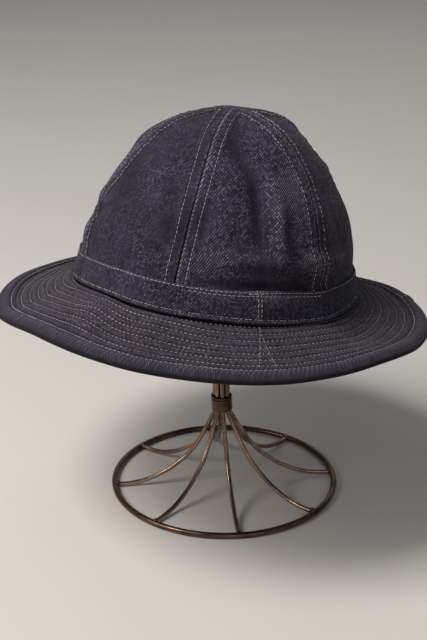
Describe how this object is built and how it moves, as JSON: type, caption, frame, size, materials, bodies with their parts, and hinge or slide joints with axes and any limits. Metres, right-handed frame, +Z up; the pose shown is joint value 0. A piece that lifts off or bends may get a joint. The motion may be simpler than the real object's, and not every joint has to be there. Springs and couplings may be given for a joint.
{
  "type": "cloth field hat on a wire hat stand",
  "caption": "Panelled denim field hat with a plain band and a stitched, bound brim, resting on a round wire hat stand.",
  "frame": {"origin": "on the surface that the stand rests on, under the middle of the whole object's box", "axes": "+Z up, -Y towards the side that the picture shows, +X to that view's right"},
  "size_m": [0.2746, 0.2805, 0.26],
  "materials": {
    "crown_denim": "dark indigo twill denim, unwashed, matt with pale flecks",
    "band_denim": "dark indigo twill denim with a rolled lower edge",
    "brim_denim": "dark indigo denim, stitched in close rows, slightly purple",
    "binding_denim": "dark blue denim cut on the bias, ribbed across the strip",
    "ring_iron": "antique brown-black iron, half gloss",
    "wire_iron": "antique brown iron wire, half gloss"
  },
  "bodies": {
    "root": {"crown_panel_1": "crown_denim", "crown_panel_2": "crown_denim", "crown_panel_3": "crown_denim", "crown_panel_4": "crown_denim", "crown_panel_5": "crown_denim", "crown_panel_6": "crown_denim", "hat_band": "band_denim", "brim": "brim_denim", "brim_binding": "binding_denim", "base_ring": "ring_iron", "top_ring": "ring_iron", "collar": "ring_iron", "wire_1": "wire_iron", "wire_2": "wire_iron", "wire_3": "wire_iron", "wire_4": "wire_iron", "wire_5": "wire_iron", "wire_6": "wire_iron", "wire_7": "wire_iron", "wire_8": "wire_iron"}
  },
  "joints": []
}
